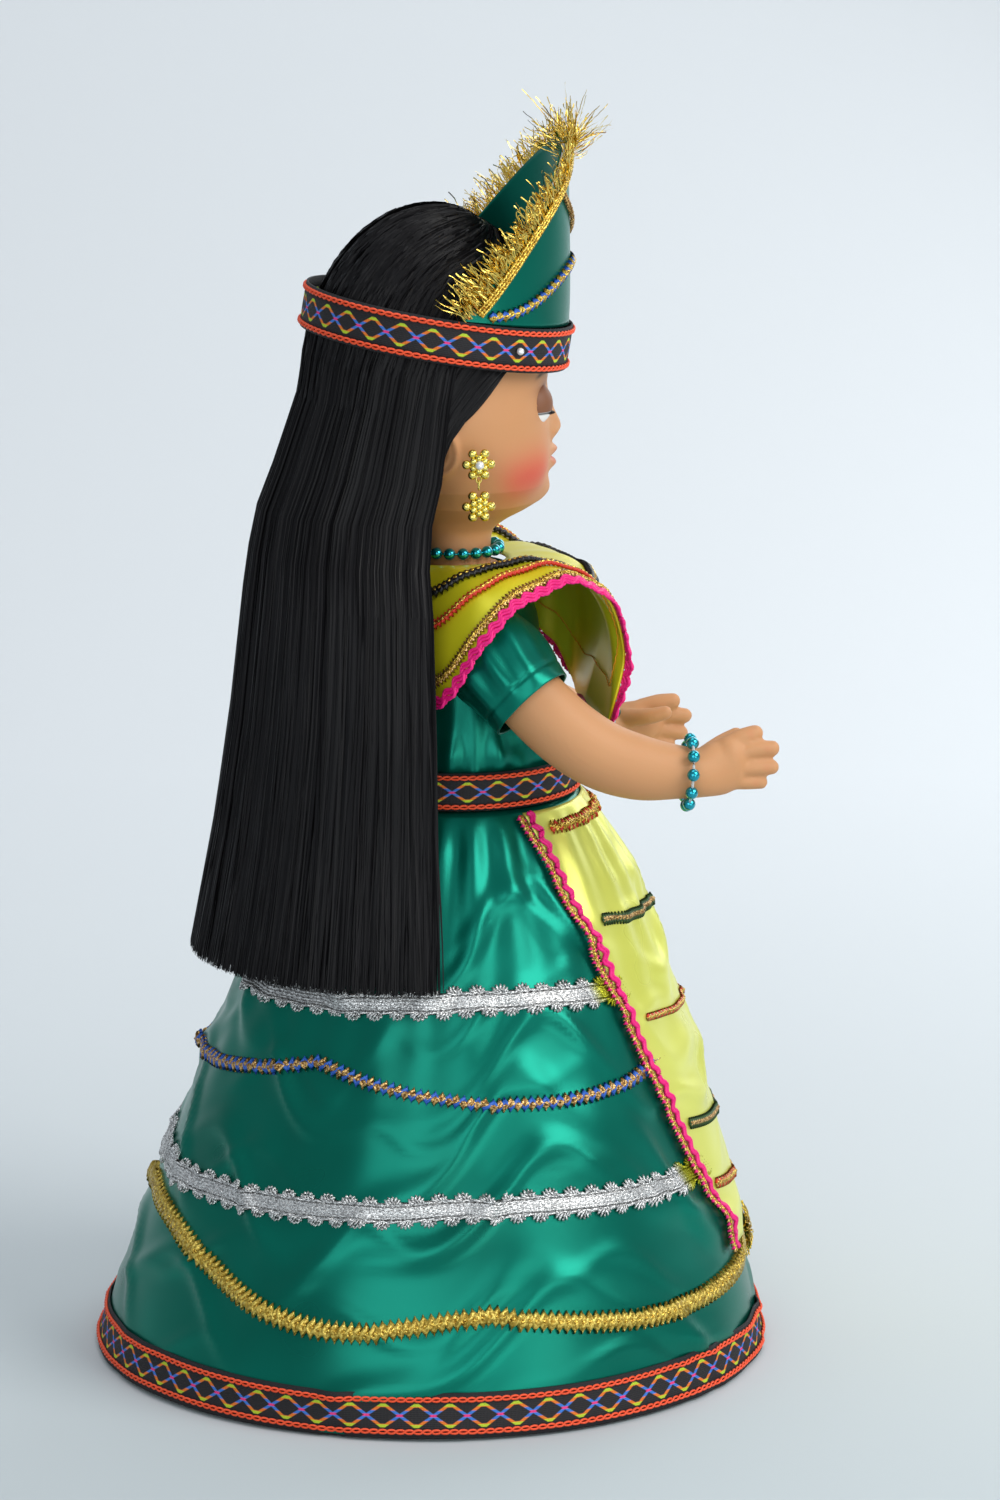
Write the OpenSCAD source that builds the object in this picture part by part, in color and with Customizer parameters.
// Festival-costume play doll, standing, in a wide satin skirt.
// Millimetres. The doll faces -Y, its right hand is at -X, and +Z is up.
// The origin is on the floor under the middle of its bounding box.

/* [Figure] */
// Height of the waist above the floor
waist_z = 208; // [174:1:250]
// Height from the waist up to the neck joint
neck_rise = 82; // [74:1:98]
// Half width of the head, without hair
head_rx = 41; // [36:0.5:46]
// Half depth of the head, without hair
head_ry = 41.5; // [36:0.5:46]
// Height from the chin to the top of the head
head_h = 105; // [92:1:120]
// Wall of the moulded vinyl head and trunk
skin_t = 3; // [2:0.25:4]
// Half width of the trunk at the shoulders
trunk_rx = 36; // [32:0.5:38]
// Distance from the middle to the ankle
ankle_x = 19; // [16:0.5:24]

/* [Joints] */
// Radius of the neck plug in its hole
neck_r = 9; // [7:0.25:10.5]
// Radius of the shoulder plug in its hole
shoulder_r = 9; // [7:0.25:11]
// Radius of the hip plug in its hole
hip_r = 7; // [5.5:0.25:8.5]
// Radial running clearance of each plug
fit = 0.06; // [0.03:0.01:0.1]
// Radius of a sleeping eye
eye_r = 8.5; // [7:0.25:10]
// Distance from the middle to an eye's centre
eye_x = 15; // [13:0.5:18]

/* [Skirt] */
// Radius of the skirt at the waist
waist_r = 42.5; // [40:0.5:50]
// Radius of the skirt at the hem
hem_r = 121; // [105:1:145]
// How far back the hem's centre sits behind the waist's
train = 10; // [5:0.5:16]
// Thickness of a satin layer with its lining
satin_t = 1; // [0.8:0.1:1.4]
// Air between two layers of cloth
cloth_gap = 0.4; // [0.3:0.05:0.6]

/* [Ribbons] */
// Width of the woven ribbon at the hem
hem_ribbon_w = 16; // [15:0.5:24]
// Width of the woven ribbon of the belt
belt_w = 13.5; // [10:0.5:17]
// Width of the woven ribbon round the head
band_w = 15.5; // [12:0.5:18]
// Thickness of a woven ribbon
ribbon_t = 1.2; // [0.8:0.1:1.6]
// Width of the silver scalloped braid
silver_w = 12; // [9:0.5:15]
// Width of a narrow wavy braid
braid_w = 6; // [4:0.5:7.5]

/* [Beads] */
// Radius of a necklace bead
neck_bead_r = 2.2; // [1.8:0.1:2.6]
// Radius of a bracelet bead
wrist_bead_r = 2.3; // [1.9:0.1:2.8]
// Radius of a gold flower bead on the earrings
flower_bead_r = 1.5; // [1.2:0.1:1.8]

/* [Hidden] */
$fn = 48;

// Segments round the skirt, the head and a limb
N_SKIRT = 60;
N_HEAD = 32;
N_LIMB = 16;

// Joint centres
body_y = -train;
neck_z = waist_z + neck_rise;
shoulder = [trunk_rx + 2, body_y - 4, neck_z - 24];
hip = [27, body_y - 1, waist_z - 62];
chin_z = neck_z + 20;
crown_z = chin_z + head_h;
head_cy = body_y + 8.5;
eye_c = [eye_x, head_cy - head_ry + 9, chin_z + 0.38 * head_h];
LEFT = 1;
RIGHT = -1;

// ---------- shape helpers ----------
function mix(a, b, t) = a + (b - a) * t;
function ease(t) = let (c = max(0, min(1, t))) c * c * (3 - 2 * c);
function unit(v) = v / norm(v);
function middle(ring) = [for (p = ring) 1 / len(ring)] * ring;
function around(n) = [for (i = [0 : n - 1]) 360 * i / n];
function steps(a, b, n) = [for (i = [0 : n]) mix(a, b, i / n)];
// One turn of an oval, from the front towards the doll's left
function oval(cy, z, rx, ry, n) = [for (a = around(n)) [rx * sin(a), cy - ry * cos(a), z]];
// A ring across a limb: t runs along the limb and ref is the side it is wide on
function across(p, t, ref, w, h, n) =
    let (s = unit(ref - (ref * t) * t), b = cross(s, t))
    [for (a = around(n)) p + w * sin(a) * s - h * cos(a) * b];
// A point on a Catmull-Rom curve through the knots, u from 0 to 1
function knot(ks, i) = ks[max(0, min(len(ks) - 1, i))];
function along(ks, u) =
    let (s = u * (len(ks) - 1), i = min(len(ks) - 2, floor(s)), t = s - i,
         a = knot(ks, i - 1), b = knot(ks, i), c = knot(ks, i + 1), d = knot(ks, i + 2))
    0.5 * (2 * b + (c - a) * t + (2 * a - 5 * b + 4 * c - d) * t * t
           + (3 * b - a - 3 * c + d) * t * t * t);
function flat(lists) = [for (l = lists) each l];

// A closed solid through a stack of rings, with a pole at each end
module loft(rings) {
    m = len(rings);
    n = len(rings[0]);
    points = concat(flat(rings), [middle(rings[0]), middle(rings[m - 1])]);
    walls = [for (i = [0 : m - 2]) for (j = [0 : n - 1]) let (k = (j + 1) % n)
        each [[i * n + j, i * n + k, (i + 1) * n + k], [i * n + j, (i + 1) * n + k, (i + 1) * n + j]]];
    top = [for (j = [0 : n - 1]) [m * n, (j + 1) % n, j]];
    bottom = [for (j = [0 : n - 1]) [m * n + 1, (m - 1) * n + j, (m - 1) * n + (j + 1) % n]];
    polyhedron(points, concat(walls, top, bottom), convexity = 6);
}

// A sheet with a thickness: rows of outer points from the top down, and the same rows inside
module sheet(outer, inner, closed = false) {
    m = len(outer);
    n = len(outer[0]);
    q = m * n;
    last = closed ? n - 1 : n - 2;
    faces = concat(
        [for (i = [0 : m - 2]) for (j = [0 : last]) let (k = (j + 1) % n, a = i * n, b = a + n)
            each [[a + j, a + k, b + k], [a + j, b + k, b + j],
                  [q + a + k, q + a + j, q + b + k], [q + b + k, q + a + j, q + b + j]]],
        [for (j = [0 : last]) let (k = (j + 1) % n, b = q - n)
            each [[k, j, q + j], [k, q + j, q + k],
                  [b + j, b + k, q + b + k], [b + j, q + b + k, q + b + j]]],
        closed ? [] : [for (i = [0 : m - 2]) let (a = i * n, b = a + n, e = n - 1)
            each [[q + a, a, b], [q + a, b, q + b],
                  [a + e, q + a + e, q + b + e], [a + e, q + b + e, b + e]]]);
    polyhedron(concat(flat(outer), flat(inner)), faces, convexity = 8);
}

module both(side) {
    if (side == LEFT) children();
    else mirror([1, 0, 0]) children();
}

// ---------- skirt surface ----------
function drop(z) = max(0, min(1, (waist_z - z) / waist_z));
function skirt_r(z) = waist_r + (hem_r - waist_r) * pow(drop(z), 0.8);
function skirt_cy(z) = body_y + train * drop(z);
// A point on the skirt at angle a from the front and height z, out from the cloth
function on_skirt(a, z, out = 0) =
    [(skirt_r(z) + out) * sin(a), skirt_cy(z) - (skirt_r(z) + out) * cos(a), z];
function skirt_ring(z, out) = [for (a = around(N_SKIRT)) on_skirt(a, z, out)];

// A strip of braid on the skirt, with its middle at height zf(a)
module braid(a0, a1, n, zf, w, out, t) {
    angles = steps(a0, a1, n);
    sheet([for (e = [0.5, -0.5]) [for (a = angles) on_skirt(a, zf(a) + e * w, out + t)]],
          [for (e = [0.5, -0.5]) [for (a = angles) on_skirt(a, zf(a) + e * w, out)]]);
}

// Half the angle that the apron covers at height z
apron_top = waist_z - 1;
apron_foot = 42;
function apron_a(z) =
    let (t = (apron_top - z) / (apron_top - apron_foot)) mix(68, 24, pow(max(0, t), 0.85));
function apron_out(a, z) = satin_t / 2 + cloth_gap
    + 3.5 * sin(180 * min(1, drop(z) / 0.85)) * pow(max(0, cos(90 * a / apron_a(z))), 1);

// ---------- trunk ----------
torso_cy = body_y - 2;
// Height as a share of the way from the waist to the neck, half width, half depth
TRUNK = [
    [1.00, 14.5, 13.5], [0.95, 22, 16], [0.88, trunk_rx - 5, 20], [0.75, trunk_rx, 24],
    [0.55, trunk_rx, 27], [0.30, 34, 29], [0.05, 34.5, 30], [-0.25, 38, 31], [-0.42, 38, 30],
    [-0.53, 30, 26], [-0.57, 11.5, 17], [-0.80, 11, 16], [-0.92, 9, 12]];
function trunk_ring(row, less, n) =
    oval(torso_cy, waist_z + row[0] * neck_rise, row[1] - less, row[2] - less, n);

module torso_shell() {
    color([0.80, 0.55, 0.36])
    difference() {
        union() {
            loft([for (row = TRUNK) trunk_ring(row, 0, 24)]);
            translate([0, body_y, neck_z - 7]) cylinder(r = neck_r + 5, h = 7);
        }
        loft([for (i = [1 : 9]) trunk_ring(TRUNK[i] - [0.05, 0, 0], skin_t, 24)]);
        translate([0, body_y, neck_z - 20]) cylinder(r = neck_r + fit, h = 30);
        translate([0, body_y, neck_z - 20]) cylinder(r = neck_r + 3, h = 20 - 4);
        translate([-trunk_rx - 10, shoulder[1], shoulder[2]]) rotate([0, 90, 0])
            cylinder(r = shoulder_r + fit, h = 2 * trunk_rx + 20);
        translate([-20, hip[1], hip[2]]) rotate([0, 90, 0]) cylinder(r = hip_r + fit, h = 40);
    }
}

// ---------- head ----------
// Share of the head's height, half width, half depth and middle, from the brow down to the neck
FACE = [
    [0.45, 1.00, 1.00, 0], [0.34, 1.00, 0.985, -1], [0.22, 0.93, 0.89, -4.5], [0.10, 0.76, 0.72, -9.5],
    [0.03, 0.55, 0.52, -11.5], [-0.03, 0.36, 0.36, -11]];
module head_shell() {
    color([0.80, 0.55, 0.36])
    difference() {
        loft(concat(head_rings(0), [neck_ring(5, 12.5), neck_ring(0.3, 12.3)],
                    [neck_ring(0.3, neck_r), neck_ring(10, neck_r)], head_inside()));
        for (s = [-1, 1]) translate([s * eye_c[0], eye_c[1], eye_c[2]]) sphere(r = eye_r + 0.4);
    }
}
function neck_ring(up, r) = oval(body_y, neck_z + up, r, r, N_HEAD);
brow_z = chin_z + 0.45 * head_h;
// Rings from near the top of the head down to the neck, grown outwards by g
function head_dome(g, t) = oval(head_cy, brow_z + (crown_z - brow_z + g) * cos(t),
    (head_rx + g) * sin(t), (head_ry + g) * sin(t), N_HEAD);
function head_rings(g) = concat([for (t = [12 : 12 : 84]) head_dome(g, t)], face_rings(g));
function face_rings(g) = [for (f = FACE)
    oval(head_cy + f[3], chin_z + f[0] * head_h, f[1] * head_rx + g, f[2] * head_ry + g, N_HEAD)];
function head_inside() = let (r = head_rings(-skin_t)) [for (i = [len(r) - 2 : -1 : 0]) r[i]];

module neck_plug() {
    color([0.75, 0.5, 0.33])
    translate([0, body_y, neck_z - 9]) {
        cylinder(r = neck_r + 2, h = 4.6);
        cylinder(r = neck_r, h = 9.2);
        cylinder(r = neck_r - 0.2, h = 17);
    }
}

// ---------- sleeping eyes ----------
module eye(side) {
    color("white")
    difference() {
        translate([side * eye_c[0], eye_c[1], eye_c[2]]) rotate([0, 0, 90]) sphere(r = eye_r);
        translate([side * (eye_c[0] - eye_r), eye_c[1], eye_c[2]]) rotate([0, 90, 0])
            cylinder(r = 1.2, h = 9, center = true);
    }
}
module eye_left() { eye(LEFT); }
module eye_right() { eye(RIGHT); }
module eye_rocker() {
    reach = eye_c[0] - eye_r + 4;
    color([0.3, 0.3, 0.3])
    translate([0, eye_c[1], eye_c[2]]) {
        rotate([0, 90, 0]) cylinder(r = 1.15, h = 2 * reach, center = true);
        rotate([50, 0, 0]) translate([-1.5, -0.8, -14]) cube([3, 1.6, 14]);
        rotate([50, 0, 0]) translate([0, 0, -16]) sphere(r = 3.5);
    }
}

// ---------- hair ----------
hair_t = 4.5;
hair_cut_z = chin_z + 2;
// Height of the hair's lower edge on the head: high over the face, low behind the ears
function hairline(a) = let (b = a > 180 ? 360 - a : a) mix(brow_z + 15, hair_cut_z + 0.4, ease((b - 62) / 38));
function head_at(z, g) = z > brow_z
    ? let (c = (z - brow_z) / (crown_z - brow_z + g), s = sqrt(max(0, 1 - c * c)))
        [(head_rx + g) * s, (head_ry + g) * s, head_cy]
    : let (f = (z - chin_z) / head_h)
        [head_rx * lookup(f, [for (r = FACE) [r[0], r[1]]]) + g,
         head_ry * lookup(f, [for (r = FACE) [r[0], r[2]]]) + g,
         head_cy + lookup(f, [for (r = FACE) [r[0], r[3]]])];
// Hair hangs from the widest part of the head instead of following it in to the neck
function hair_at(z, g) = let (q = head_at(max(z, brow_z), g), fall = max(0, brow_z - z))
    [q[0] + 0.06 * fall, q[1] + 0.22 * fall, q[2] + 0.12 * fall];
function hair_point(a, z, g) = let (q = hair_at(z, g)) [q[0] * sin(a), q[2] - q[1] * cos(a), z];
module hair_cap() {
    color([0.06, 0.055, 0.055])
    loft(concat(cap_rows(hair_t), [for (i = [cap_n - 1 : -1 : 0]) cap_rows(1.2)[i]]));
}
cap_n = 11;
// The cap runs from the top of the head to the hairline in equal steps round each side
function cap_rows(g) = [for (i = [0 : cap_n - 1]) [for (a = around(N_HEAD)) let (
    low = hairline(a), u = (i + 0.6) / (cap_n - 0.4),
    z = mix(crown_z + g, low, 1 - cos(90 * u)))
    hair_point(a, z, g)]];

// The curtain of hair down the back: height, half width, and how far back it reaches
FALL = [
    [hair_cut_z, 49, 62], [hair_cut_z - 28, 64, 66], [hair_cut_z - 72, 70, 71],
    [hair_cut_z - 112, 72, 77], [hair_cut_z - 162, 79, 87]];
fall_cy = 8;
fall_t = 7;
function fall_point(a, z, less) = let (
    k = [for (r = FALL) [r[0], r[1]]], b = [for (r = FALL) [r[0], r[2]]],
    rx = lookup(z, k) - less, ry = lookup(z, b) - fall_cy - less)
    [rx * sin(a), fall_cy - ry * cos(a), z];
module hair_fall() {
    rows = steps(FALL[0][0], FALL[4][0], 7);
    angles = steps(92, 268, 20);
    color([0.06, 0.055, 0.055])
    sheet([for (z = rows) [for (a = angles) fall_point(a, z, 0)]],
          [for (z = rows) [for (a = angles) fall_point(a, z, fall_t)]]);
}

// ---------- headband and crown ----------
band_tilt = 9.6;
band_c = [0, head_cy - 1.5, chin_z + 0.64 * head_h];
band_r = max(head_rx, head_ry) + hair_t + 1;
module headband() {
    color([0.1, 0.1, 0.12])
    translate(band_c) rotate([band_tilt, 0, 0]) difference() {
        cylinder(r = band_r + ribbon_t, h = band_w, center = true, $fn = 96);
        cylinder(r = band_r, h = band_w + 2, center = true, $fn = 96);
    }
}
crown_r = band_r + 0.2;
crown_span = 88;
// Height of the crown's peak above the middle of the headband
crown_peak = 66;
function band_z(a) = band_c[2] - sin(band_tilt) * band_r * cos(a);
// Upper edge of the crown: straight in the side view, from behind the temple up to the peak
function front_share(a, span) = max(0, (cos(a) - cos(span)) / (1 - cos(span)));
function crown_edge(a, inset = 0) =
    mix(band_z(a) + band_w / 2 + 1, band_c[2] + crown_peak, front_share(a, crown_span)) - inset;
// Height of the tinsel above the crown's edge, and how much more it stands up at the peak
fringe_h = 9;
tuft_h = 12;
// The cord lies level near the temples and swings up to the front
function cord_rise(a) = let (t = max(0, min(1, (78 - abs(a)) / 68))) t * t * (3 - 2 * t);
function crown_cord_z(a) = band_z(a) + band_w / 2 + 2.8 + 20 * cord_rise(a);
module crown_wall(r, t, lo, hi, span, layers = 1) {
    angles = steps(-span, span, 32);
    rows = steps(1, 0, layers);
    wall = function (q) [for (u = rows) [for (a = angles)
        [q * sin(a), band_c[1] - q * cos(a), mix(lo(a), hi(a), u)]]];
    sheet(wall(r + t), wall(r));
}
module crown_panel() {
    color([0, 0.5, 0.4])
    crown_wall(crown_r, 0.8, function (a) band_z(a) + band_w / 2 + 0.6, function (a) crown_edge(a), crown_span, 3);
}
module crown_card() {
    color([0.85, 0.82, 0.75])
    crown_wall(crown_r - 1.4, 1, function (a) band_z(a) + band_w / 2 + 0.5,
        function (a) crown_edge(a, 1.5), crown_span - 10, 3);
}
module crown_gimp() {
    color([0.78, 0.6, 0.3])
    crown_wall(crown_r + 0.8 + cloth_gap, 1, function (a) crown_edge(a, 7.5), function (a) crown_edge(a, 2.5), 80);
}
module crown_fringe() {
    color([0.85, 0.7, 0.3])
    crown_wall(crown_r - 0.6, 2, function (a) crown_edge(a, -0.4),
        function (a) crown_edge(a, -fringe_h - tuft_h * pow(front_share(a, 30), 2)), crown_span);
}
module crown_cord() {
    color([0.15, 0.25, 0.6])
    crown_wall(crown_r + 0.8 + cloth_gap, 1.2, function (a) crown_cord_z(a) - 2,
        function (a) crown_cord_z(a) + 2, 68);
}
module headband_pins() {
    color([0.9, 0.88, 0.82])
    for (s = [-1, 1]) {
        a = 62;
        r = band_r + ribbon_t + 1.2;
        translate([s * r * sin(a), band_c[1] - r * cos(a), band_z(a)]) sphere(r = 1.3);
    }
}

// ---------- earrings ----------
ear = [head_rx + 6.2, head_cy - 9, chin_z + 0.23 * head_h];
drop_c = ear - [0, 0, 15];
module flower(c) {
    translate(c) rotate([0, 90, 0]) {
        for (i = [0 : 5]) rotate([0, 0, 60 * i]) translate([2.15 * flower_bead_r, 0, 0])
            rotate([0, 0, 60]) sphere(r = flower_bead_r);
        cylinder(r = 2.4 * flower_bead_r, h = 1.2, center = true);
    }
}
link_c = ear - [0, 0, 6.2];
link_pin_r = 0.5;
module earring_top(side) {
    color([0.85, 0.68, 0.25])
    both(side) {
        flower(ear);
        translate([head_rx - 3, ear[1], ear[2]]) rotate([0, 90, 0]) cylinder(r = 0.5, h = 9);
        translate(ear + [1.6, 0, 0]) sphere(r = 1.6);
        translate(link_c) rotate([0, 90, 0]) cylinder(r = link_pin_r, h = 2.4, center = true);
        for (x = [-1, 1]) translate(link_c + [x * 0.95 - 0.25, -0.4, -0.4]) cube([0.5, 0.8, 3.4]);
    }
}
module earring_drop(side) {
    color([0.85, 0.68, 0.25])
    both(side) {
        flower(drop_c);
        translate(link_c) rotate([0, 90, 0]) difference() {
            cylinder(r = 1.3, h = 0.8, center = true);
            cylinder(r = link_pin_r + fit, h = 2, center = true);
        }
        translate([link_c[0] - 0.4, link_c[1] - 0.4, drop_c[2] + 2]) cube([0.8, 0.8, link_c[2] - drop_c[2] - 3.1]);
    }
}
module earring_top_left() { earring_top(LEFT); }
module earring_top_right() { earring_top(RIGHT); }
module earring_drop_left() { earring_drop(LEFT); }
module earring_drop_right() { earring_drop(RIGHT); }

// ---------- arms ----------
arm_out = shoulder[0];
ARM = [
    [arm_out + 8, shoulder[1] + 5, shoulder[2] + 7], [arm_out + 12, shoulder[1] - 1, shoulder[2] + 1],
    [arm_out + 18, shoulder[1] - 12, shoulder[2] - 13], [arm_out + 22, shoulder[1] - 25, shoulder[2] - 26],
    [arm_out + 23, shoulder[1] - 38, shoulder[2] - 35], [arm_out + 24, shoulder[1] - 52, shoulder[2] - 40],
    [arm_out + 24.5, shoulder[1] - 66, shoulder[2] - 42], [arm_out + 25, shoulder[1] - 73, shoulder[2] - 42.5],
    [arm_out + 25, shoulder[1] - 82, shoulder[2] - 42], [arm_out + 24.5, shoulder[1] - 92, shoulder[2] - 41],
    [arm_out + 24, shoulder[1] - 101, shoulder[2] - 41]];
// Half width and half height of the arm at each place
ARM_W = [[7, 8], [11, 12.5], [11.8, 12.5], [12.5, 12.5], [12.5, 12.5], [12, 11.5], [9.6, 9.5], [8.8, 9],
    [6.5, 11.5], [5.2, 11], [3.5, 7.5]];
// The left arm rests a little lower than the right one, turned about its shoulder pin
left_arm_low = 9; // [0:1:16]
module hung(side) {
    both(side) translate(shoulder) rotate([side == LEFT ? left_arm_low : 0, 0, 0]) translate(-shoulder) children();
}
module arm(side) {
    color([0.80, 0.55, 0.36])
    hung(side) {
        loft([for (u = steps(0, 1, 24)) let (q = along(ARM, u), w = along(ARM_W, u),
              t = unit(along(ARM, min(1, u + 0.02)) - along(ARM, max(0, u - 0.02))))
              across(q, t, [1, 0, 0], w[0], w[1], N_LIMB)]);
        translate([arm_out - 19, shoulder[1], shoulder[2]]) rotate([0, 90, 0])
            cylinder(r = shoulder_r, h = 29);
        translate([arm_out - 20, shoulder[1], shoulder[2]]) rotate([0, 90, 0])
            cylinder(r = shoulder_r + 1.5, h = 2.5);
    }
}
module arm_left() { arm(LEFT); }
module arm_right() { arm(RIGHT); }

// Sleeve: middle line and radius, from the round armhole to the cuff
SLEEVE = [
    [arm_out + 2.5, shoulder[1], shoulder[2]], [arm_out + 6, shoulder[1], shoulder[2]],
    [arm_out + 11.5, shoulder[1] - 3, shoulder[2] - 3], [arm_out + 17, shoulder[1] - 8, shoulder[2] - 9],
    [arm_out + 21.5, shoulder[1] - 14, shoulder[2] - 16]];
SLEEVE_R = [17, 19, 19, 17, 16];
armhole_r = 19;
function sleeve_rows(less) = [for (u = steps(0, 1, 7)) let (q = along(SLEEVE, u),
    t = unit(along(SLEEVE, min(1, u + 0.03)) - along(SLEEVE, max(0, u - 0.03))), r = along(SLEEVE_R, u) - less)
    across(q, t, [0, 0.66, -0.72], r, r, 20)];
module sleeve(side) {
    color([0, 0.5, 0.4])
    hung(side) sheet(sleeve_rows(0), sleeve_rows(satin_t), closed = true);
}
module sleeve_left() { sleeve(LEFT); }
module sleeve_right() { sleeve(RIGHT); }

// Bracelet: beads on an elastic thread round the wrist
wrist = (ARM[6] + ARM[7]) / 2;
wrist_dir = unit(ARM[7] - ARM[6]);
wrist_ring_r = 9.6 + wrist_bead_r;
wrist_beads = floor(2 * PI * wrist_ring_r / (2 * wrist_bead_r + 0.5));
module bracelet(side) {
    color([0.0, 0.5, 0.6])
    hung(side) translate(wrist) rotate([90, 0, 0])
        rotate([-asin(wrist_dir[2]), asin(wrist_dir[0] / cos(asin(wrist_dir[2]))), 0]) {
            for (i = [1 : wrist_beads]) rotate([0, 0, 360 * i / wrist_beads])
                translate([wrist_ring_r, 0, 0]) sphere(r = wrist_bead_r);
            rotate_extrude() translate([wrist_ring_r, 0]) circle(r = 0.5);
        }
}
module bracelet_left() { bracelet(LEFT); }
module bracelet_right() { bracelet(RIGHT); }

// ---------- legs and shoes ----------
LEG = [
    [hip[0], hip[1], hip[2] + 15], [hip[0], hip[1], hip[2] + 6], [hip[0], hip[1], hip[2] - 10],
    [mix(hip[0], ankle_x, 0.4), hip[1] - 1, hip[2] * 0.65], [mix(hip[0], ankle_x, 0.7), hip[1] - 1, hip[2] * 0.5],
    [mix(hip[0], ankle_x, 0.9), hip[1] + 2, hip[2] * 0.34], [ankle_x, hip[1] + 2, 22], [ankle_x, hip[1] + 2, 12]];
LEG_W = [8, 13, 14, 13.5, 12, 12, 9, 8.5];
module leg(side) {
    color([0.80, 0.55, 0.36])
    both(side) {
        loft([for (u = steps(0, 1, 18)) let (q = along(LEG, u), w = along(LEG_W, u),
              t = unit(along(LEG, min(1, u + 0.02)) - along(LEG, max(0, u - 0.02))))
              across(q, t, [1, 0, 0], w, w, N_LIMB)]);
        translate([4.5, hip[1], hip[2]]) rotate([0, 90, 0]) cylinder(r = hip_r, h = hip[0] - 8);
    }
}
module leg_left() { leg(LEFT); }
module leg_right() { leg(RIGHT); }

shoe_l = 46;
module shoe(side) {
    heel_y = hip[1] + 14;
    rows = [for (u = steps(0, 1, 6)) let (z = mix(11.5, 0, u), k = sqrt(1 - 0.75 * pow(1 - u, 2)))
        [for (a = around(20)) [ankle_x + (10 + 3 * k) * sin(a) * (1 - 0.12 * cos(a)),
                               heel_y - shoe_l / 2 - (shoe_l / 2 * k) * cos(a), z]]];
    color([0.9, 0.88, 0.82])
    both(side) loft(rows);
}
module shoe_left() { shoe(LEFT); }
module shoe_right() { shoe(RIGHT); }

// ---------- clothes on the trunk ----------
// Blouse: height above the waist as a share of the neck rise, half width, half depth
BLOUSE = [
    [0.995, 17.5, 16.5], [0.95, 25, 20], [0.89, trunk_rx - 1, 23.5], [0.78, trunk_rx + 2.2, 27.5],
    [0.60, trunk_rx + 2.4, 30.5], [0.42, trunk_rx + 3, 34], [0.27, trunk_rx + 4, 38], [0.14, 41, 40.5]];
function blouse_rows(less) = [for (b = BLOUSE)
    oval(mix(body_y, torso_cy, b[0]), waist_z + b[0] * neck_rise, b[1] - less, b[2] - less, 36)];
module blouse() {
    color([0, 0.5, 0.4])
    difference() {
        sheet(blouse_rows(0), blouse_rows(satin_t), closed = true);
        for (s = [-1, 1]) translate([s * (trunk_rx + 6), shoulder[1], shoulder[2]]) rotate([0, 90, 0])
            cylinder(r = armhole_r, h = 24, center = true);
    }
}

module belt() {
    color([0.1, 0.1, 0.12])
    translate([0, body_y, waist_z + cloth_gap]) difference() {
        cylinder(r = waist_r + cloth_gap + ribbon_t, h = belt_w, $fn = 96);
        translate([0, 0, -1]) cylinder(r = waist_r + cloth_gap, h = belt_w + 2, $fn = 96);
    }
}

// Collar: the doll's right half of its outer edge, from the front middle round to the back middle
COLLAR_EDGE = [
    [0, -58, -53], [22, -59, -53.5], [40, -59, -52], [43, -64, -28], [46, -58, -6], [51, -46, 1], [56, -32, 1],
    [63, -18, -5], [66, -8, -18], [60, 4, -36], [44, 15, -44], [24, 24, -46], [0, 27, -46]];
// The doll's left side hangs lower in front, as a wing beside the chest
COLLAR_EDGE_LEFT = [
    [0, -58, -53], [22, -59, -53.5], [39, -60, -52], [43.5, -55, -42], [44, -47, -30], [45.5, -40, -9], [54, -31, 0],
    [63, -18, -5], [66, -8, -18], [60, 4, -36], [44, 15, -44], [24, 24, -46], [0, 27, -46]];
COLLAR_MID = [
    [0, -78, 9], [16, -76, 9], [30, -70, 9], [36, -60, 9], [38, -48, 8], [41, -38, 8], [44, -28, 8],
    [48, -18, 8], [50, -8, 7], [48, 6, 4], [34, 18, 0], [16, 24, -3], [0, 26, -5]];
COLLAR_NECK_R = 18;
function collar_arc(knots, a) = let (b = a > 180 ? 360 - a : a, p = along(knots, b / 180))
    [(a > 180 ? -1 : 1) * p[0], p[1], neck_z + p[2]];
function collar_point(a, s, up) = let (
    n = [COLLAR_NECK_R * sin(a), body_y - COLLAR_NECK_R * cos(a), neck_z + 2.2],
    m = collar_arc(COLLAR_MID, a), e = collar_arc(a > 180 ? COLLAR_EDGE : COLLAR_EDGE_LEFT, a))
    (1 - s) * (1 - s) * n + 2 * s * (1 - s) * m + s * s * e + [0, 0, up];
function collar_normal(a, s) = let (
    du = collar_point(a, min(1, s + 0.02), 0) - collar_point(a, max(0, s - 0.02), 0),
    dv = collar_point(a + 1.5, s, 0) - collar_point(a - 1.5, s, 0))
    unit(cross(dv, du));
function collar_off(a, s, out) = collar_point(a, s, 0) - out * collar_normal(a, s);
module collar_band(s0, s1, out, t, a0 = 0, a1 = 360, n = 48, rows = 1) {
    whole = a1 - a0 >= 360;
    angles = whole ? around(n) : steps(a0, a1, n);
    sheet([for (s = steps(s0, s1, rows)) [for (a = angles) collar_off(a, s, out + t)]],
          [for (s = steps(s0, s1, rows)) [for (a = angles) collar_off(a, s, out)]], closed = whole);
}
module collar() {
    color([0.85, 0.88, 0.3]) collar_band(0, 1, 0, satin_t, rows = 7);
}
module collar_pink_trim() {
    color([0.94, 0.08, 0.6]) collar_band(0.955, 1, satin_t + 0.3, 0.8);
}
module collar_gold_trim() {
    color([0.78, 0.6, 0.3]) collar_band(0.88, 0.93, satin_t + 0.3, 0.8);
}
module collar_sequin_row() {
    color([0.05, 0.05, 0.05]) collar_band(0.40, 0.46, satin_t + 0.3, 0.9);
}
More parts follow.
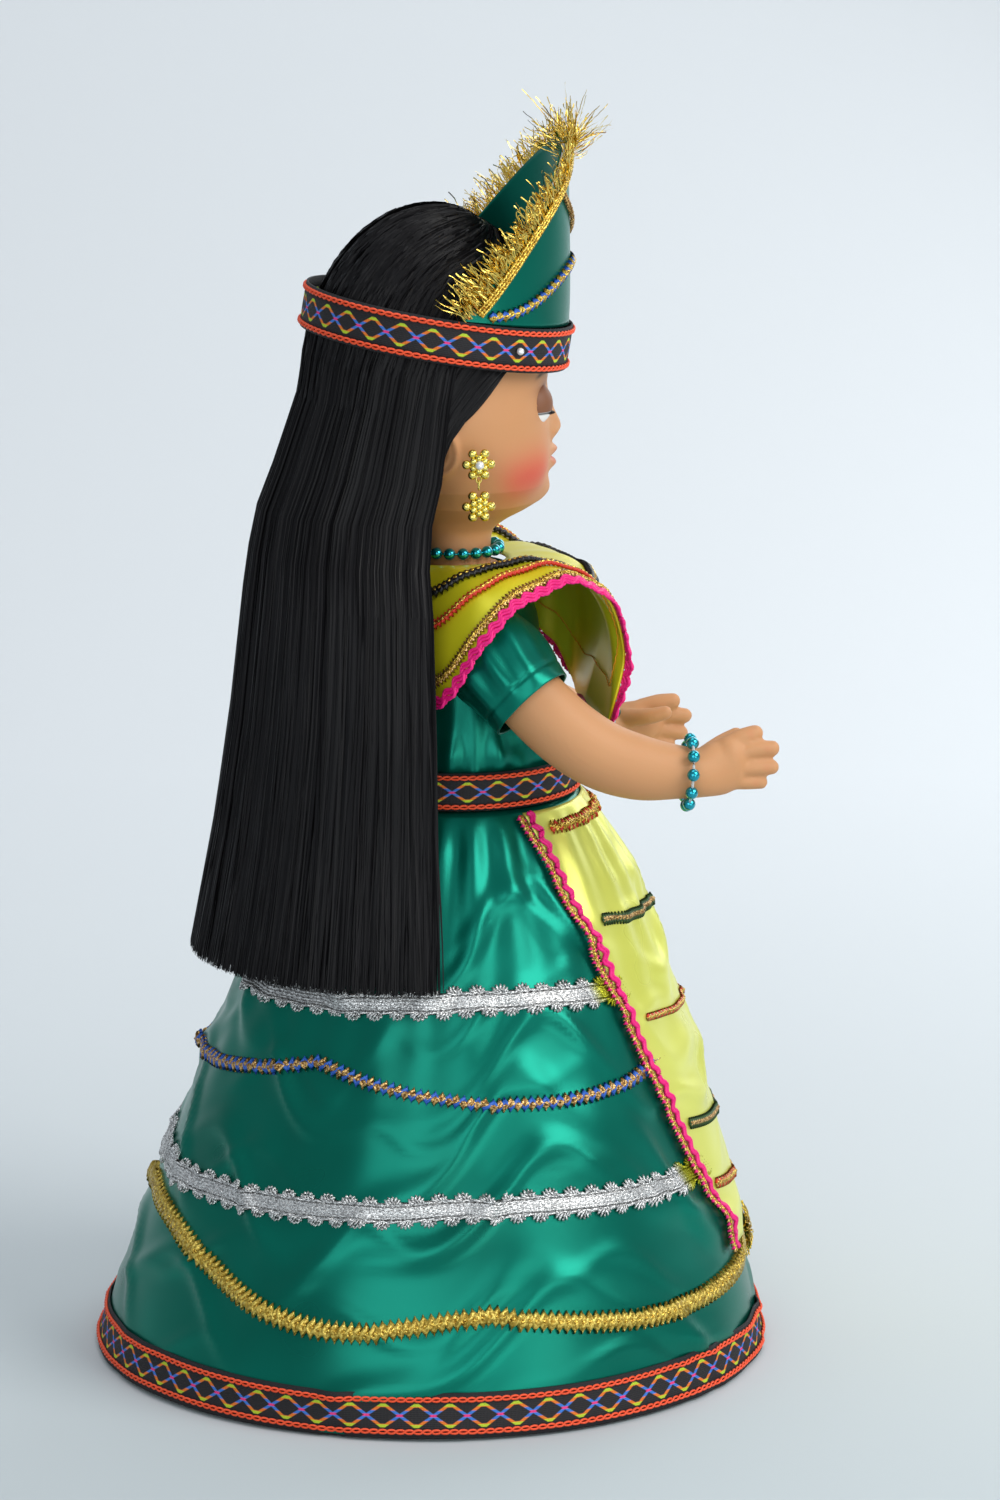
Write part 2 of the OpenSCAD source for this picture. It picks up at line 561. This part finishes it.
module collar_red_row() {
    color([0.8, 0.15, 0.1]) collar_band(0.62, 0.67, satin_t + 0.3, 0.9);
}

necklace_r = 15.5;
necklace_n = floor(2 * PI * necklace_r / (2 * neck_bead_r + 0.4));
module necklace() {
    color([0.0, 0.5, 0.6])
    translate([0, body_y, neck_z + 6]) {
        for (i = [1 : necklace_n]) rotate([0, 0, 360 * i / necklace_n])
            translate([necklace_r, 0, 0]) sphere(r = neck_bead_r);
        rotate_extrude() translate([necklace_r, 0]) circle(r = 0.4);
    }
}

// ---------- skirt and what is sewn to it ----------
// Heights of the skirt's rings, closer together where it curves most
function skirt_rows(up, foot) = [for (u = steps(0, 1, 7)) mix(waist_z + up, foot, pow(u, 1.7))];
module skirt() {
    rows = concat([waist_z + 4], skirt_rows(0, 0.6));
    color([0, 0.5, 0.4])
    sheet([for (z = rows) skirt_ring(z, 0)], [for (z = rows) skirt_ring(z, -satin_t)], closed = true);
}
module petticoat() {
    rows = skirt_rows(0, 2);
    out = -satin_t - cloth_gap - 0.5;
    color([0.95, 0.95, 0.95])
    sheet([for (z = rows) skirt_ring(z, out)], [for (z = rows) skirt_ring(z, out - 1.5)], closed = true);
}
module hem_band() {
    rows = [hem_ribbon_w * 0.95, 0];
    color([0.1, 0.1, 0.12])
    sheet([for (z = rows) skirt_ring(z, cloth_gap + ribbon_t)],
          [for (z = rows) skirt_ring(z, cloth_gap)], closed = true);
}
// The braids stop at the apron's edge on each side
function hem_share(f) = waist_z * f;
silver_up_z = hem_share(0.695);
silver_low_z = hem_share(0.362);
blue_z = hem_share(0.59);
gold_z = hem_share(0.20);
module silver_braid(z) {
    color([0.8, 0.8, 0.82])
    braid(apron_a(z) + 2, 358 - apron_a(z), 60, function (a) z + 4 * sin(3 * a) / 3, silver_w, cloth_gap, 0.8);
}
module silver_braid_upper() { silver_braid(silver_up_z); }
module silver_braid_lower() { silver_braid(silver_low_z); }
module blue_gold_braid() {
    color([0.2, 0.3, 0.6])
    braid(apron_a(blue_z) + 2, 358 - apron_a(blue_z), 72,
        function (a) blue_z - 12 * abs(sin(1.5 * (a + 12))), braid_w, cloth_gap, 0.8);
}
module gold_braid() {
    color([0.78, 0.6, 0.3])
    braid(22, 338, 72, function (a) gold_z - 9 * abs(sin(2 * a)) + 22 * ease((70 - abs(180 - a)) / 60),
        braid_w, cloth_gap, 0.8);
}

module apron() {
    rows = steps(apron_top, apron_foot, 10);
    shares = steps(-1, 1, 16);
    grid = function (out) [for (z = rows) [for (u = shares) let (a = u * apron_a(z))
        on_skirt(a, z, apron_out(a, z) + out)]];
    color([0.85, 0.88, 0.3])
    sheet(grid(satin_t), grid(0));
}
// A trim that runs down an edge of the apron, from u0 to u1 millimetres inside the edge
module apron_edging(side, u0, u1, t) {
    rows = steps(apron_top, apron_foot, 10);
    grid = function (out) [for (z = rows) [for (u = side > 0 ? [u1, u0] : [u0, u1])
        let (a = side * (apron_a(z) - u * 57.3 / skirt_r(z)))
        on_skirt(a, z, apron_out(a, z) + satin_t + 0.3 + out)]];
    sheet(grid(t), grid(0));
}
module apron_pink_left() { color([0.94, 0.08, 0.6]) apron_edging(LEFT, -1, 2.4, 0.8); }
module apron_pink_right() { color([0.94, 0.08, 0.6]) apron_edging(RIGHT, -1, 2.4, 0.8); }
module apron_gold_left() { color([0.78, 0.6, 0.3]) apron_edging(LEFT, 2.9, 8, 0.8); }
module apron_gold_right() { color([0.78, 0.6, 0.3]) apron_edging(RIGHT, 2.9, 8, 0.8); }
ROW_Z = [0.975, 0.815, 0.64, 0.44, 0.325];
module apron_rows() {
    color([0.6, 0.4, 0.15])
    for (f = ROW_Z) {
        z = waist_z * f;
        half = apron_a(z) - 8.8 * 57.3 / skirt_r(z);
        angles = steps(-half, half, 12);
        grid = function (out) [for (e = [2, -2]) [for (a = angles)
            let (y = z + e - 6 * (1 - abs(a) / half)) on_skirt(a, y, apron_out(a, y) + satin_t + 0.3 + out)]];
        sheet(grid(0.9), grid(0));
    }
}
module tassel() {
    z = apron_foot - 9;
    color([0.8, 0.65, 0.3])
    translate(on_skirt(0, z, 4.2)) rotate([70, 0, 0]) {
        cylinder(r = 8, h = 2.4, center = true, $fn = 12);
        for (i = [0 : 6]) rotate([0, 0, 240 + 10 * i]) translate([0, 0, -0.8]) cube([15, 1, 1.6]);
    }
}

torso_shell();
blouse();
collar();
collar_pink_trim();
collar_gold_trim();
collar_sequin_row();
collar_red_row();
necklace();
belt();
skirt();
petticoat();
hem_band();
silver_braid_upper();
silver_braid_lower();
blue_gold_braid();
gold_braid();
apron();
apron_pink_left();
apron_pink_right();
apron_gold_left();
apron_gold_right();
apron_rows();
tassel();
hair_fall();
head_shell();
neck_plug();
hair_cap();
headband();
crown_panel();
crown_card();
crown_gimp();
crown_fringe();
crown_cord();
headband_pins();
earring_top_left();
earring_top_right();
earring_drop_left();
earring_drop_right();
eye_left();
eye_right();
eye_rocker();
arm_left();
arm_right();
sleeve_left();
sleeve_right();
bracelet_left();
bracelet_right();
leg_left();
leg_right();
shoe_left();
shoe_right();
